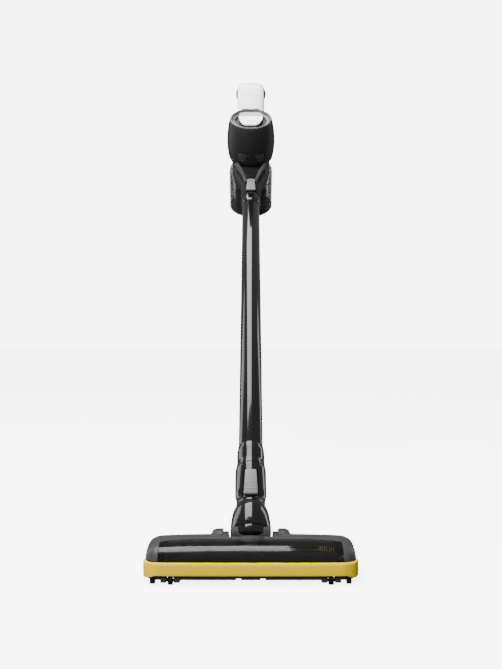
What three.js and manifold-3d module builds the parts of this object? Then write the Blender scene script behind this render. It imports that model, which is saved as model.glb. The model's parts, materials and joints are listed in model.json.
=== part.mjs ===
// Cordless stick vacuum cleaner, as a user holds it: the floor head stands level with its front towards -Y,
// and the stick leans back from it towards +Y. Millimetres, +Z up, origin in the middle of the hand grip.
import * as THREE from "three";
import { mergeVertices } from "three/addons/utils/BufferGeometryUtils.js";
import Module from "manifold-3d";

const wasm = await Module();
wasm.setup();

// ---- Driving dimensions ----
const gap = 0.35; // between pieces that touch or run in each other
const lean = THREE.MathUtils.degToRad(47.6); // of the stick, from upright

// Floor head, in its own frame: x to the side, y back from the bumper's front face, z up from the floor.
const headHalf = 130; // half the head's width
const headDepth = 100;
const ridge = { y: 46, z: 50.3 }; // the highest line of the head's cover
const soleZ = 4; // underside of the sole
const mouthBack = 53; // rear edge of the suction mouth
const bumperLow = 12.8;
const bumperHigh = 28.7;
const bumperWall = 3.4;
const windowHalf = 113;
const windowBack = 31.5;
const roller = { y: 31, z: 21.5, radius: 20.5, core: 14, half: 108 };
const pivot = { y: 72, z: 38 }; // the pitch hinge
const cheek = { inner: 28.6, outer: 36 }; // walls on both sides of the neck's recess
const frontWheel = { x: 98, y: 9.5, radius: 5.5, width: 6.5 };
const rearWheel = { y: 112, radius: 21.5, inner: 37, outer: 55.5 };
const brushMotor = { y: 80, z: 23, radius: 13, from: -104, to: -62 };
const rollerPulley = 11; // pitch radii, 33 and 18 teeth
const motorPulley = 6;
const pulleyX = -115.6; // middle of the belt run, behind the left end cap

// Stick, in its own frame: z along the tube from the pitch hinge, -y its front, which faces up when it leans.
const drumRadius = 20.5;
const swivelAt = 8; // plane where the neck turns on the yoke
const neckRadius = 26.7;
const socketEnd = 112.4;
const tubeRadius = 17.5;
const tubeWall = 1.5;
const tubeFrom = 126;
const tubeTo = 800;
const inletFrom = 812.4;
const buttonTravel = 2.4; // room behind each release button

// Tower of dust container and motor, in its own frame: z from the tube's axis towards the front of the stick,
// y along the stick, measured from the tower's axis.
const towerAt = 930;
const containerRadius = 47.5;
const containerWall = 2;
const containerLow = -86;
const flapLow = -92;
const deckLow = 12.6;
const collarLow = 27;
const coverLow = 46;
const bezelAt = 119.5;

// ---- Materials ----
const finish = (color, roughness, metalness = 0, opacity = 1) =>
  new THREE.MeshStandardMaterial({ color, roughness, metalness, opacity, transparent: opacity < 1 });
const material = {
  charcoal: finish(0x3a3a3a, 0.55),
  graphite: finish(0x4b4b49, 0.45),
  black: finish(0x161616, 0.2),
  white: finish(0xf2f4f4, 0.25),
  grey: finish(0x858582, 0.5),
  yellow: finish(0xe8d000, 0.4),
  smoked: finish(0x2c2c28, 0.1, 0, 0.45),
  rubber: finish(0x202020, 0.85),
  bristle: finish(0x9aa000, 0.8),
  metal: finish(0x9a9c9e, 0.35, 1),
  board: finish(0x1e5a34, 0.6),
  paper: finish(0xd8d8cf, 0.9),
};

// ---- Building blocks ----

// A closed three.js geometry as a solid with its faces pointing out.
function solid(geometry) {
  const bare = geometry.index ? geometry.toNonIndexed() : geometry.clone();
  for (const name of Object.keys(bare.attributes)) if (name !== "position") bare.deleteAttribute(name);
  const merged = mergeVertices(bare, 1e-4);
  const kept = [];
  const index = merged.index.array;
  for (let i = 0; i < index.length; i += 3) {
    const [a, b, c] = [index[i], index[i + 1], index[i + 2]];
    if (a !== b && b !== c && c !== a) kept.push(a, b, c);
  }
  const make = (corners) =>
    new wasm.Manifold(
      new wasm.Mesh({
        numProp: 3,
        vertProperties: merged.attributes.position.array,
        triVerts: new Uint32Array(corners),
      }),
    );
  const made = make(kept);
  return made.volume() < 0 ? make(kept.reverse()) : made;
}

// A solid's surface as a three.js geometry.
function surface(body) {
  const mesh = body.getMesh();
  const geometry = new THREE.BufferGeometry();
  geometry.setAttribute("position", new THREE.BufferAttribute(new Float32Array(mesh.vertProperties), 3));
  geometry.setIndex(new THREE.BufferAttribute(new Uint32Array(mesh.triVerts), 1));
  geometry.computeVertexNormals();
  return geometry;
}

// A named mesh of that body, added to a group.
function piece(parent, name, body, look) {
  const mesh = new THREE.Mesh(surface(body), look);
  mesh.name = name;
  parent.add(mesh);
  return mesh;
}

// A box between two corners.
function block([x0, y0, z0], [x1, y1, z1]) {
  const box = new THREE.BoxGeometry(x1 - x0, y1 - y0, z1 - z0);
  return solid(box.translate((x0 + x1) / 2, (y0 + y1) / 2, (z0 + z1) / 2));
}

// A body turned about z from a profile of [radius, z] points; a profile off the axis closes on itself.
function turned(profile, sides = 24) {
  const points = profile.map(([r, z]) => new THREE.Vector2(r, z));
  if (profile[0][0] > 0) points.push(points[0].clone());
  return solid(new THREE.LatheGeometry(points, sides).rotateX(Math.PI / 2));
}

// A round bar along x, y or z, from low to high on that axis, with its centre line through at.
function bar(axis, radius, low, high, at = [0, 0, 0], sides = 24) {
  const round = new THREE.CylinderGeometry(radius, radius, high - low, sides);
  const middle = (low + high) / 2;
  if (axis === "x") round.rotateZ(Math.PI / 2).translate(middle, at[1], at[2]);
  if (axis === "y") round.translate(at[0], middle, at[2]);
  if (axis === "z") round.rotateX(Math.PI / 2).translate(at[0], at[1], middle);
  return solid(round);
}

// A hollow bar.
const pipe = (axis, outer, inner, low, high, at, sides) =>
  bar(axis, outer, low, high, at, sides).subtract(bar(axis, inner, low - 1, high + 1, at, sides));

// An outline in x and y, extruded from low to high along z.
function prism(points, low, high) {
  const shape = new THREE.Shape(points.map(([x, y]) => new THREE.Vector2(x, y)));
  return solid(new THREE.ExtrudeGeometry(shape, { depth: high - low, bevelEnabled: false }).translate(0, 0, low));
}

// The same outline drawn in y and z, and extruded along x.
const slab = (points, low, high) => turn(prism(points, low, high));

// A body turned so that its x, y and z become y, z and x.
function turn(body) {
  return solid(
    surface(body).applyMatrix4(new THREE.Matrix4().set(0, 0, 1, 0, 1, 0, 0, 0, 0, 1, 0, 0, 0, 0, 0, 1)),
  );
}

// A closed body through rings that all have the same number of points.
function loft(rings) {
  const sides = rings[0].length;
  const geometry = new THREE.CylinderGeometry(1, 1, 1, sides, rings.length - 1);
  const position = geometry.attributes.position;
  const put = (i, point) => position.setXYZ(i, point.x, point.y, point.z);
  let i = 0;
  for (const ring of rings) for (let k = 0; k <= sides; k++) put(i++, ring[k % sides]);
  for (const ring of [rings[0], rings[rings.length - 1]]) {
    const middle = ring.reduce((sum, p) => sum.add(p), new THREE.Vector3()).divideScalar(sides);
    for (let k = 0; k < sides; k++) put(i++, middle);
    for (let k = 0; k <= sides; k++) put(i++, ring[k % sides]);
  }
  return solid(geometry);
}

// A superellipse ring at height z: half width along x, from back to front along y.
function oval(z, half, front, back, power = 2, sides = 36) {
  const squeeze = (v) => Math.sign(v) * Math.abs(v) ** (2 / power);
  return Array.from({ length: sides }, (_, k) => {
    const angle = ((k + 0.5) / sides) * 2 * Math.PI;
    const y = (back - front) / 2 - (squeeze(Math.sin(angle)) * (front + back)) / 2;
    return new THREE.Vector3(half * squeeze(Math.cos(angle)), y, z);
  });
}

// A body lofted through ovals, each given as [z, half width, front, back, power].
const ovals = (rows, sides) => loft(rows.map(([z, w, f, b, p]) => oval(z, w, f, b, p, sides)));

// ---- Groups ----
const vacuum = new THREE.Group();
const head = new THREE.Group();
const stick = new THREE.Group();
const tower = new THREE.Group();
vacuum.add(head, stick);
stick.add(tower);
stick.position.set(0, pivot.y, pivot.z);
stick.rotation.x = -lean;
tower.position.set(0, 0, towerAt);
tower.rotation.x = Math.PI / 2;

// ---- Floor head ----

// The head's side profile, from the front of the sole round over the ridge.
function headProfile() {
  const shape = new THREE.Shape();
  shape.moveTo(12, soleZ);
  shape.lineTo(4.5, 9);
  shape.lineTo(3.4, bumperHigh);
  shape.bezierCurveTo(4.5, 41, 16, 47.4, windowBack, 48.4);
  shape.bezierCurveTo(ridge.y - 4, ridge.z + 0.8, 58, 49.4, 68, 47.2);
  shape.bezierCurveTo(84, 43.6, 98, 39, headDepth, 30);
  shape.lineTo(headDepth, 9);
  shape.lineTo(96, soleZ);
  return shape.getPoints(5);
}

// How the profile shrinks towards the ends: [x, share of depth, share of height].
const headStations = [
  [1, 0.73, 0.74],
  [0.983, 0.83, 0.845],
  [0.948, 0.92, 0.91],
  [0.862, 0.99, 0.96],
  [0.46, 1, 0.993],
];

// The head's outer form, drawn in by inset on every side but the bottom.
function headForm(inset) {
  const middleY = headDepth / 2;
  const halfX = headHalf - inset;
  const shrinkY = 1 - inset / middleY;
  const shrinkZ = 1 - inset / (ridge.z - soleZ);
  const profile = headProfile();
  const ring = (x, depth, height) =>
    profile.map(
      (p) =>
        new THREE.Vector3(
          x * halfX,
          middleY + (p.x - middleY) * depth * shrinkY,
          soleZ + (p.y - soleZ) * height * shrinkZ,
        ),
    );
  const right = headStations.map(([x, depth, height]) => ring(x, depth, height));
  const left = headStations.map(([x, depth, height]) => ring(-x, depth, height)).reverse();
  return loft([...right, ring(0, 1, 1), ...left]);
}

// The bumper's outline seen from above, drawn in by inset.
function bumperOutline(inset, back) {
  const half = headHalf + 2.4 - inset;
  const corner = [
    [half, 17],
    [half - 3, 9 + inset * 0.7],
    [half - 9, 4 + inset * 0.9],
    [half - 19, 0.8 + inset],
    [60, inset],
  ];
  const mirrored = corner.map(([x, y]) => [-x, y]).reverse();
  return [[half, back], ...corner, ...mirrored, [-half, back]];
}

const wide = 200; // more than any piece of the head
const headOuter = headForm(0);
const headInner = headForm(2.2).add(block([-127, 6, -5], [127, 92, 12]));
const headShell = headOuter.subtract(headInner);
const bumperBack = 19.6;
const bumperZone = prism(bumperOutline(-2, bumperBack + gap), 8.6, bumperHigh + gap).subtract(
  prism(bumperOutline(bumperWall + 1.4, bumperBack + 2), 8, 32),
);
const neckRecess = block([-cheek.inner, 42, soleZ + 4], [cheek.inner, 130, 90]);
const wheelBay = (side) => {
  const low = side > 0 ? cheek.outer - 0.5 : -60;
  return block([low, 86, -5], [low + 24.5, 140, 60]);
};

function bumper() {
  const ring = prism(bumperOutline(0, bumperBack), 9, bumperHigh).subtract(
    prism(bumperOutline(bumperWall, bumperBack + 1), 8, 40),
  );
  const raised = slab(
    [
      [-1, 0],
      [30, 0],
      [30, bumperLow],
      [-1, bumperLow],
    ],
    -118,
    118,
  );
  piece(head, "bumper", ring.subtract(raised), material.yellow);
}

function headCovers() {
  const bumperRoom = block([-wide, -5, 8], [wide, bumperBack + gap, bumperHigh + gap]);
  const clear = headShell.subtract(bumperRoom);
  const front = block([-windowHalf, -5, bumperHigh + gap], [windowHalf, windowBack, 60]);
  piece(head, "roller_window", clear.intersect(front), material.smoked);
  const behind = block([-windowHalf, windowBack + gap, 20], [windowHalf, 120, 60]);
  const hood = solid(new THREE.SphereGeometry(1, 16, 10).scale(16, 7, 5).translate(0, ridge.y - 6, ridge.z - 1.5));
  const notch = block([-38.2, 49, 0], [38.2, 130, 90]).add(block([-30, 44.4, 0], [30, 60, 90]));
  const cover = clear.intersect(behind).add(hood.subtract(headInner).intersect(behind));
  piece(head, "top_cover", cover.subtract(notch).subtract(wheelBay(1)).subtract(wheelBay(-1)), material.graphite);
  for (const side of [1, -1]) {
    const low = side > 0 ? windowHalf + gap : -wide;
    const end = block([low, -5, 9], [low + wide - windowHalf - gap, 130, 60]);
    const knob = bar("x", 8 + gap, 120, 140, [0, roller.y, roller.z]).add(
      bar("x", 9.6 + gap, 127.4, 140, [0, roller.y, roller.z]),
    );
    const cap = clear.intersect(end).subtract(knob);
    piece(head, side > 0 ? "end_cap_right" : "end_cap_left", cap, material.graphite);
  }
}

// The chassis: sole with the suction mouth, the roller's chamber, the motor bay and the cheeks of the neck's hinge.
function chassis() {
  const inside = roller.half + 1.6;
  const chamber = bar("x", roller.radius + 2, -inside, inside, [0, roller.y, roller.z], 28);
  const bayX = 111.4;
  const bayEnd = 119.8;
  const body = headForm(2.6)
    .intersect(block([-wide, 0, soleZ], [wide, headDepth, 30]))
    .subtract(bumperZone)
    .subtract(chamber)
    .subtract(block([-inside, roller.y - 15, -5], [inside, mouthBack, 14]))
    .subtract(block([-inside, -5, 17], [inside, roller.y, 40]))
    .subtract(block([-bayX, 58, 8], [-cheek.outer, 93, 40]))
    .subtract(block([cheek.outer, 58, 8], [bayX, 93, 40]))
    .subtract(block([-bayEnd, 18, 8], [-bayX, 93, 40]))
    .subtract(block([bayX + 1, 18, 8], [bayEnd, 93, 40]))
    .subtract(bar("x", 3 + gap, -bayEnd, -100, [0, roller.y, roller.z], 16))
    .subtract(bar("x", 9 + gap, 100, bayEnd, [0, roller.y, roller.z], 24))
    .subtract(bar("x", 8 + gap, 110, 130, [0, roller.y, roller.z], 24))
    .subtract(neckRecess)
    .subtract(wheelBay(1))
    .subtract(wheelBay(-1));
  const outline = [
    [52, 6],
    [90, 6],
    [118, 12],
    [120, 20],
    [116, 29],
    [100, 37],
    [80, 47.5],
    [66, 48.5],
    [58, 42],
    [54, 30],
  ];
  const cheeks = [1, -1].map((side) =>
    slab(
      outline,
      side > 0 ? cheek.inner : -cheek.outer,
      side > 0 ? cheek.outer : -cheek.inner,
    ),
  );
  const skid = (side) =>
    slab(
      [
        [6, soleZ + 3],
        [9, 1.2],
        [16, 1.2],
        [20, soleZ + 3],
      ],
      side * 120 - 3,
      side * 120 + 3,
    );
  let made = body.add(cheeks[0]).add(cheeks[1]).add(skid(1)).add(skid(-1));
  for (const side of [1, -1]) {
    const x = side * frontWheel.x;
    const wheel = block([x - 3.9, -5, -5], [x + 3.9, frontWheel.y + 6.5, 12.2]);
    const axle = bar("x", 1.7 + gap, x - 9, x + 9, [0, frontWheel.y, frontWheel.radius], 12);
    made = made.subtract(wheel).subtract(axle);
    made = made.subtract(block([side * 15 - 3, -5, -5], [side * 15 + 3, 16.5, 7.5]));
    const pin = bar("x", 4 + gap, -60, 60, [0, pivot.y, pivot.z], 16);
    const rear = bar("x", 3 + gap, -60, 60, [0, rearWheel.y, rearWheel.radius], 16);
    made = made.subtract(pin).subtract(rear);
  }
  return piece(head, "head_chassis", made, material.charcoal);
}

function roundabout(name, x, profile, at, look, sides = 20) {
  const body = turned(profile, sides);
  const mesh = piece(head, name, body, look);
  mesh.position.set(x, at.y, at.z);
  mesh.rotation.y = Math.PI / 2;
  return mesh;
}

function wheels() {
  for (const side of [1, -1]) {
    const word = side > 0 ? "right" : "left";
    const front = { y: frontWheel.y, z: frontWheel.radius };
    const half = frontWheel.width / 2;
    const small = [
      [0, -8.4],
      [1.7, -8.4],
      [1.7, -half],
      [frontWheel.radius - 1, -half],
      [frontWheel.radius, 1 - half],
      [frontWheel.radius, half - 1],
      [frontWheel.radius - 1, half],
      [1.7, half],
      [1.7, 8.4],
      [0, 8.4],
    ];
    roundabout("front_wheel_" + word, side * frontWheel.x, small, front, material.rubber, 16);
    const rear = { y: rearWheel.y, z: rearWheel.radius };
    const r = rearWheel.radius;
    const inner = rearWheel.inner;
    const outer = rearWheel.outer;
    const mirror = (rows) => rows.map(([radius, x]) => [radius, side * x]);
    const hub = [
      [3 + gap, inner],
      [r - 3.4, inner],
      [r - 3.4, outer - 4.2],
      [r - 7, outer - 1],
      [r - 12, outer],
      [3 + gap, outer],
    ];
    const tyre = [
      [r - 3, inner],
      [r - 0.8, inner],
      [r, inner + 1],
      [r, outer - 10],
      [r - 1.6, outer - 5.5],
      [r - 3, outer - 3.6],
    ];
    roundabout("rear_wheel_hub_" + word, 0, mirror(hub), rear, material.graphite);
    roundabout("rear_tyre_" + word, 0, mirror(tyre), rear, material.rubber, 28);
    const axle = mirror([
      [0, cheek.inner + 0.5],
      [3, cheek.inner + 0.5],
      [3, outer + 0.6],
      [4.6, outer + 0.6],
      [4.6, outer + 2],
      [0, outer + 2],
    ]);
    roundabout("rear_axle_" + word, 0, axle, rear, material.metal, 16);
    const pin = mirror([
      [0, 18],
      [4, 18],
      [4, cheek.outer],
      [6, cheek.outer + gap],
      [6, cheek.outer + 1.6],
      [0, cheek.outer + 1.6],
    ]);
    roundabout("hinge_pin_" + word, 0, pin, pivot, material.metal, 16);
  }
}

// Brush roller with two V-shaped tuft rows, its bearing, and the belt drive behind the left end cap.
function brushDrive() {
  const turns = THREE.MathUtils.degToRad(110);
  const core = [
    [0, -119.4],
    [3, -119.4],
    [3, -roller.half - 0.5],
    [roller.core, -roller.half],
    [roller.core, roller.half],
    [5, roller.half + 0.5],
    [5, roller.half + 4],
    [0, roller.half + 4],
  ];
  roundabout("roller_core", 0, core, roller, material.charcoal, 24);
  ["a", "b"].forEach((letter, row) => {
    const steps = 20;
    const rings = Array.from({ length: steps + 1 }, (_, k) => {
      const x = -roller.half + 2 + ((roller.half - 2) * 2 * k) / steps;
      const middle = row * Math.PI + (Math.abs(x) / roller.half) * turns;
      const at = (radius, side) => {
        const angle = middle + side / radius;
        return new THREE.Vector3(x, radius * Math.cos(angle), radius * Math.sin(angle));
      };
      const low = roller.core + 0.5;
      return [at(low, 2.2), at(roller.radius, 1.6), at(roller.radius, -1.6), at(low, -2.2)];
    });
    const tufts = piece(head, "bristle_row_" + letter, loft(rings), material.bristle);
    tufts.position.set(0, roller.y, roller.z);
  });
  const ring = (radius, bore, half) => [
    [bore, -half],
    [radius + 1, -half],
    [radius + 1, 0.8 - half],
    [radius - 0.6, 1 - half],
    [radius - 0.6, half - 1],
    [radius + 1, half - 0.8],
    [radius + 1, half],
    [bore, half],
  ];
  roundabout("roller_pulley", pulleyX, ring(rollerPulley, 3 + gap, 3.6), roller, material.charcoal, 20);
  const shaft = [[1.6, 3.6], [1.6, 18], [0, 18]];
  const pulley = [[0, -3.6], ...ring(motorPulley, 1.6, 3.6).slice(1), ...shaft];
  roundabout("motor_pulley", pulleyX, pulley, brushMotor, material.metal, 16);
  const can = [
    [1.6 + gap, brushMotor.from],
    [5, brushMotor.from],
    [5, brushMotor.from + 2],
    [brushMotor.radius, brushMotor.from + 2],
    [brushMotor.radius, brushMotor.to - 2],
    [8, brushMotor.to],
    [1.6 + gap, brushMotor.to],
  ];
  roundabout("brush_motor", 0, can, brushMotor, material.metal, 18);
  belt();
  const bearing = turned([[5 + gap, 109.2], [9, 109.2], [9, 112.2], [5 + gap, 112.2]], 20);
  const race = piece(head, "roller_bearing", bearing, material.metal);
  race.position.set(0, roller.y, roller.z);
  race.rotation.y = Math.PI / 2;
}

// A flat loop round both pulleys, at the radii where it runs.
function belt() {
  const span = new THREE.Vector2(brushMotor.y - roller.y, brushMotor.z - roller.z);
  const ahead = span.angle();
  const wrap = Math.acos((rollerPulley - motorPulley) / span.length());
  const loop = (extra) => {
    const around = (centre, radius, from, to) =>
      new THREE.EllipseCurve(centre.y, centre.z, radius + extra, radius + extra, from, to).getPoints(12);
    return [
      ...around(roller, rollerPulley, ahead + wrap, ahead + 2 * Math.PI - wrap),
      ...around(brushMotor, motorPulley, ahead - wrap, ahead + wrap),
    ].map((p) => [p.x, p.y]);
  };
  const low = pulleyX - 2.2;
  const high = pulleyX + 2.2;
  const outer = slab(loop(1.4), low, high);
  piece(head, "drive_belt", outer.subtract(slab(loop(0), low - 1, high + 1)), material.rubber);
}

// A knob in the right end cap that lets the roller out sideways.
function rollerLock() {
  const knob = [
    [0, 113],
    [8, 113],
    [8, 127.8],
    [9.6, 128],
    [9.6, 131],
    [0, 131],
  ];
  roundabout("roller_lock_knob", 0, knob, roller, material.grey, 24);
}

bumper();
headCovers();
chassis();
wheels();
brushDrive();
rollerLock();

// ---- Neck ----

// The yoke: a drum that pitches in the head, with a round boss on which the neck swivels.
function yoke() {
  const drum = bar("x", drumRadius, -26, 26, [0, 0, 0], 24)
    .intersect(block([-30, -30, -30], [30, 30, swivelAt]))
    .add(turned([[0, -9], [18, -9], [neckRadius - 0.6, -2], [neckRadius - 0.6, swivelAt], [0, swivelAt]]))
    .add(pipe("z", 19.6, 15, 0, swivelAt + 8, [0, 0, 0], 24));
  const cavity = bar("x", 17, -15.5, 15.5, [0, 0, 0], 20).intersect(block([-16, -23, -23], [16, 23, swivelAt - 3]));
  const mouth = block([-15.5, -30, -30], [15.5, 0, 0]);
  const made = drum
    .subtract(cavity)
    .subtract(mouth)
    .subtract(bar("z", 15, 0, 40, [0, 0, 0], 24))
    .subtract(bar("x", 4 + gap, -30, -17, [0, 0, 0], 16))
    .subtract(bar("x", 4 + gap, 17, 30, [0, 0, 0], 16));
  piece(stick, "yoke_drum", made, material.charcoal);
}

function neck() {
  const outside = turned([
    [0, swivelAt + gap],
    [neckRadius, swivelAt + gap],
    [26.6, 20],
    [25.8, 29],
    [24, 39],
    [21.6, 46],
    [19.8, 50.5],
    [19.7, 59.6],
    [0, 59.6],
  ]);
  const inside = turned([
    [0, 0],
    [20, 0],
    [20, swivelAt + 9],
    [15, 30],
    [15, 70],
    [0, 70],
  ]);
  const buttonRoom = block([-10.3, -30, 55.6], [10.3, -17.5, 61]);
  piece(stick, "swivel_neck", outside.subtract(inside).subtract(buttonRoom), material.black);
  const socket = turned([
    [17.2, 60],
    [19.7, 60],
    [21.65, 70],
    [21.6, 108],
    [21.2, socketEnd],
    [17.2, socketEnd],
  ]);
  const window = block([-10.3, -30, 54], [10.3, -16.9, 98.4]);
  piece(stick, "neck_socket", socket.subtract(window), material.black);
  piece(stick, "lower_release_button", releaseButton(), material.grey).position.set(0, -17.4, 77);
}

// A tapered press button, 40 long, its wide end down.
function releaseButton() {
  const outline = [
    [9.6, -20],
    [7.6, 20],
    [-7.6, 20],
    [-9.6, -20],
  ];
  const plate = prism(outline, buttonTravel, 7.2);
  const made = solid(surface(plate).rotateX(Math.PI / 2));
  const slope = slab(
    [
      [-20, -21],
      [-5.4, -21],
      [-7.3, -12],
      [-7.3, 12],
      [-6, 21],
      [-20, 21],
    ],
    -12,
    12,
  );
  return made.subtract(slope);
}

yoke();
neck();

// ---- Suction tube ----
function tube() {
  const lower = turned([
    [14, 72],
    [16.8, 72],
    [16.8, socketEnd + gap],
    [21, socketEnd + gap],
    [19.5, 123],
    [19.5, 143],
    [18.2, 152],
    [tubeRadius + gap, 152],
    [tubeRadius + gap, tubeFrom - gap],
    [14, tubeFrom - gap],
  ]);
  const lowerNotch = block([-6.4, 13, 60], [6.4, 20, 90]);
  piece(stick, "tube_lower_sleeve", lower.subtract(lowerNotch), material.black);
  const shaft = pipe("z", tubeRadius, tubeRadius - tubeWall, tubeFrom, tubeTo, [0, 0, 0], 28);
  piece(stick, "suction_tube", shaft, material.black);
  const upper = turned([
    [tubeRadius + gap, 782],
    [18.6, 784],
    [19.4, 789],
    [19.4, inletFrom - gap],
    [16.8, inletFrom - gap],
    [16.8, 852],
    [14, 852],
    [14, tubeTo + gap],
    [tubeRadius + gap, tubeTo + gap],
  ]);
  piece(stick, "tube_upper_sleeve", upper.subtract(block([-6.4, 13, 842], [6.4, 20, 860])), material.black);
  const lead = block([-3.4, 12.2, 84], [3.4, 13.2, 840]);
  piece(stick, "tube_power_lead", lead, material.rubber);
}
tube();

// ---- Hand unit: inlet ----
function inlet() {
  const housing = ovals([
    [inletFrom, 20, 20, 20, 2],
    [816, 20.8, 20.8, 20.8, 2],
    [850, 20.4, 22, 21, 2.2],
    [868, 27, 30, 21, 2.8],
    [884, 35, 37, 21, 3],
    [902, 39, 37, 16, 3],
  ]);
  const containerRoom = bar("y", containerRadius + 0.8, -deckLow, 120, [0, 0, towerAt], 26);
  const aboveDeck = bar("y", 41.5, -80, -deckLow + 1, [0, 0, towerAt], 24);
  const collarRoom = bar("y", 50, -80, -collarLow + 0.6, [0, 0, towerAt], 28);
  const duct = bar("z", 17.4, 870, 891.4, [0, 0, 0], 24);
  const bore = bar("z", 17.2, 800, 856, [0, 0, 0], 24).add(bar("z", 14, 850, 900, [0, 0, 0], 24));
  const pocket = block([-10.3, -40, 810], [10.3, -16.9, 857]);
  const made = housing
    .subtract(containerRoom)
    .add(duct)
    .subtract(aboveDeck)
    .subtract(collarRoom)
    .subtract(bore)
    .subtract(pocket);
  piece(stick, "inlet_housing", made, material.charcoal);
  piece(stick, "upper_release_button", releaseButton(), material.grey).position.set(0, -17.4, 834.4);
}
inlet();

// ---- Hand unit: dust container ----
function container() {
  const r = containerRadius;
  const inner = r - containerWall;
  const shell = turned(
    [
      [inner, containerLow],
      [r, containerLow],
      [r, -4],
      [r - 1.6, 4],
      [r - 5, 9],
      [41.8, 11],
      [41.8, deckLow - gap],
      [39.8, deckLow - gap],
      [39.8, 9],
      [r - 3.6, 3],
      [inner, -5],
    ],
    26,
  );
  const notch = bar("y", 18.2, -60, -20, [0, 0, 0], 24).add(block([-18.2, -60, 0], [18.2, -20, 20]));
  piece(tower, "dust_container", shell.subtract(notch), material.smoked);
  const ring = turned(
    [
      [r - 3.4, flapLow + 1],
      [r + 0.2, flapLow + 1],
      [r + 0.2, containerLow - gap],
      [r - 3.4, containerLow - gap],
    ],
    26,
  );
  const hinge = block([-16, 44, flapLow + 1], [16, 54, containerLow - gap]);
  const hingeRoom = block([-12.4, 48.6, -110], [12.4, 60, -60]);
  const latchRoom = block([-9.4, -60, -110], [9.4, -46, -60]);
  piece(tower, "container_base_ring", ring.add(hinge).subtract(hingeRoom).subtract(latchRoom), material.graphite);
  const disc = turned([[0, flapLow], [r - 4, flapLow], [r - 4, containerLow - 1], [0, containerLow - 1]], 26);
  const arm = block([-11, 20, flapLow - 2.2], [11, 56, flapLow + 0.6]);
  const knuckle = bar("x", 3.2, -11, 11, [0, 52.4, flapLow + 1.2], 16);
  const tongue = block([-8, -50, flapLow - 1.6], [8, -30, flapLow + 0.6]);
  piece(tower, "bottom_flap", disc.add(arm).add(knuckle).add(tongue), material.graphite);
  const latch = block([-8.6, -52.6, flapLow + 0.4 + 1.2], [8.6, -48.4, -66]);
  piece(tower, "flap_latch", latch, material.grey);
}

function cyclone() {
  const core = turned(
    [
      [24, -50],
      [34, -56],
      [35.2, -56],
      [35.2, -54.6],
      [29, -46],
      [29, -8],
      [37.8, 0],
      [37.8, 6],
      [30, 6],
      [26, -2],
      [26, -44],
      [24, -44],
    ],
    26,
  );
  piece(tower, "cyclone_core", core, material.graphite);
  const mesh = turned([[29.8, -44], [31, -44], [31, -10], [29.8, -10]], 20);
  piece(tower, "cyclone_mesh", mesh, material.metal);
  const filter = turned([[10, -40], [24, -40], [25, -4], [25, 10], [36, 10.4], [36, 24], [10, 24]], 20);
  piece(tower, "filter_cartridge", filter, material.paper);
}

// ---- Hand unit: motor tower ----
function motor() {
  const deck = turned(
    [
      [37.4, deckLow],
      [40.6, deckLow],
      [40.6, collarLow - gap],
      [37.4, collarLow - gap],
    ],
    26,
  );
  const slot = (k) => {
    const angle = (k / 24) * 360;
    const cut = surface(block([-2, 30, 17], [2, 50, 24]));
    return solid(cut.rotateZ(THREE.MathUtils.degToRad(angle)));
  };
  let vents = deck;
  const vented = [2, 3, 4, 7, 8, 9, 15, 16, 17, 20, 21, 22];
  for (const k of vented) vents = vents.subtract(slot(k));
  piece(tower, "exhaust_ring", vents, material.graphite);
  const collar = turned(
    [
      [31, collarLow],
      [40, collarLow],
      [44.4, collarLow + 4],
      [47, collarLow + 10],
      [48.6, coverLow - gap],
      [46.2, coverLow - gap],
      [44, 38],
      [41, 32],
      [31, 30],
    ],
    28,
  );
  piece(tower, "motor_collar", collar, material.charcoal);
  const cover = turned(
    [
      [46.3, coverLow],
      [48.7, coverLow],
      [50, 58],
      [50.4, 70],
      [49.9, 84],
      [48.4, 98],
      [46.4, 110],
      [44.2, 118.6],
      [41.6, 118.6],
      [43.8, 110],
      [46, 98],
      [47.5, 84],
      [48, 70],
      [47.6, 58],
    ],
    28,
  );
  piece(tower, "motor_cover", cover, material.charcoal);
  const impeller = turned([[0, 33], [34, 33], [34, 35], [22, 42], [9, 49], [3, 49], [3, 90], [0, 90]], 18);
  const groove = (k) => {
    const cut = surface(block([-1.4, 12, 35.4], [1.4, 40, 60]));
    return solid(cut.rotateZ((k / 9) * 2 * Math.PI));
  };
  let fan = impeller;
  for (let k = 0; k < 9; k++) fan = fan.subtract(groove(k));
  piece(tower, "fan_impeller", fan, material.metal);
  const can = turned([[3 + gap, 52], [30, 52], [34, 55], [34, 84], [12, 88], [3 + gap, 88]], 18);
  piece(tower, "fan_motor", can, material.metal);
  piece(tower, "control_board", turned([[0, 94], [34, 94], [34, 96], [0, 96]], 18), material.board);
}

// The dished bezel on top of the tower. A raised tile stands in it: the indicator panel and the mode button.
function topPanel() {
  const top = new THREE.Group();
  top.position.set(0, 0, bezelAt);
  tower.add(top);
  const bezel = turned(
    [
      [33, -9],
      [38.6, -9],
      [40.8, -0.5],
      [43.8, -0.5],
      [43.4, 1.4],
      [41.8, 2.6],
      [40, 1.4],
      [37.6, -2.8],
      [33, -3.4],
    ],
    28,
  );
  piece(top, "top_bezel", bezel, material.graphite);
  const floor = turned([[0, -9], [32.6, -9], [32.6, -6.6], [0, -6.6]], 28);
  piece(top, "panel_tray", floor, material.charcoal);
  const half = [
    [11, -24],
    [17, -19],
    [21.5, -9],
    [24.3, 2],
    [25, 14],
    [23.4, 24.6],
    [17.5, 29.6],
  ];
  const outline = [...half, ...half.map(([x, y]) => [-x, y]).reverse()];
  const split = 14;
  const tile = prism(outline, -3, 1).intersect(block([-40, split + 0.3, -9], [40, 40, 5]));
  const foot = block([-20, split + 3, -6.3], [20, 24, -2.6]);
  const button = prism(outline, -4.6, 1).intersect(block([-40, -40, -9], [40, split - 0.3, 5]));
  piece(top, "indicator_panel", tile.add(foot), material.paper);
  piece(top, "mode_button", button, material.white);
}

container();
cyclone();
motor();
topPanel();

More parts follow.
